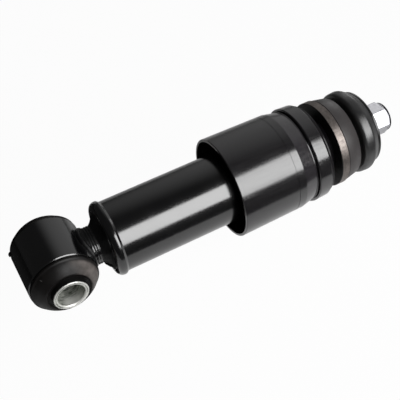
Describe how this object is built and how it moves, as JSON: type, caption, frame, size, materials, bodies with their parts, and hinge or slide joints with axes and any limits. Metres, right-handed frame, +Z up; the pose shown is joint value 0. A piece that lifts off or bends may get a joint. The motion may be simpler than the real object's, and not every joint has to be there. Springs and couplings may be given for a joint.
{
  "type": "cab shock absorber",
  "caption": "Short twin-tube hydraulic cab damper with a rubber-bushed lower eye, a dust cover and a rubber-cushioned stud mounting with a lock nut.",
  "frame": {"origin": "centre of the lower eye, on the axis of its bolt hole and midway between the sleeve's ends", "axes": "+X along the damper from the eye to the mounting stud, Y along the eye's bolt hole, +Z up with the damper lying level as in the picture"},
  "size_m": [0.287, 0.0728, 0.0728],
  "materials": {
    "black_paint": "gloss",
    "black_plastic": "satin",
    "bush_rubber": "satin",
    "cushion_rubber": "satin",
    "grey_rubber": "matte",
    "seal_rubber": "matte",
    "zinc_sleeve": "zinc plated",
    "zinc_nut": "zinc plated",
    "turned_steel": "turned",
    "black_washer": "satin",
    "drawn_steel": "drawn",
    "hard_chrome": "polished",
    "sintered_steel": "matte",
    "spring_steel": "blued",
    "bearing_bronze": "satin",
    "band_plastic": "matte",
    "stop_plastic": "matte",
    "insert_plastic": "matte"
  },
  "bodies": {
    "eye_sleeve": {"eye_inner_sleeve": "zinc_sleeve"},
    "barrel": {"eye_rubber_bush": "bush_rubber", "eye_ring": "black_paint", "neck_stub": "black_paint", "base_cup": "black_paint", "reserve_tube": "black_paint", "foot_valve_body": "sintered_steel", "foot_blow_disc": "spring_steel", "foot_intake_spring": "spring_steel", "foot_valve_pin": "spring_steel", "pressure_tube": "drawn_steel", "rod_guide": "sintered_steel", "guide_bush": "bearing_bronze", "oil_seal": "seal_rubber", "closing_ring": "drawn_steel"},
    "foot_intake": {"foot_intake_disc": "spring_steel"},
    "piston_ring": {"piston_band": "band_plastic"},
    "rod": {"piston_rod": "hard_chrome", "piston": "sintered_steel", "rebound_shims": "spring_steel", "valve_washer": "drawn_steel", "piston_nut": "drawn_steel", "piston_check_spring": "spring_steel", "stop_washer": "drawn_steel", "rebound_stop": "stop_plastic", "bump_stop": "seal_rubber", "cover_plate": "drawn_steel", "dust_cover": "black_plastic", "cover_cap": "black_plastic", "lower_washer": "turned_steel", "spacer_sleeve": "drawn_steel", "lower_cushion": "grey_rubber", "upper_cushion": "cushion_rubber", "top_washer": "black_washer", "lock_nut": "zinc_nut", "nut_insert": "insert_plastic"},
    "piston_check": {"piston_check_disc": "spring_steel"}
  },
  "joints": [
    {"name": "eye_twist", "type": "hinge", "parent": "eye_sleeve", "child": "barrel", "pos_m": [0, 0, 0], "axis": [0, 1, 0], "range_deg": [-15, 15], "stiffness_Nm_per_rad": 85},
    {"name": "rod_slide", "type": "slide", "parent": "barrel", "child": "piston_ring", "axis": [1, 0, 0], "range_m": [-0.028, 0.01]},
    {"name": "rod_spin", "type": "hinge", "parent": "piston_ring", "child": "rod", "pos_m": [0.1, 0, 0], "axis": [1, 0, 0], "continuous": true},
    {"name": "intake_lift", "type": "slide", "parent": "barrel", "child": "foot_intake", "axis": [1, 0, 0], "range_m": [0, 0.001], "stiffness_N_per_m": 150, "springref_m": -0.002, "deforming": ["foot_intake_spring"]},
    {"name": "check_lift", "type": "slide", "parent": "rod", "child": "piston_check", "axis": [1, 0, 0], "range_m": [0, 0.001], "stiffness_N_per_m": 150, "springref_m": -0.002, "deforming": ["piston_check_spring"]}
  ]
}
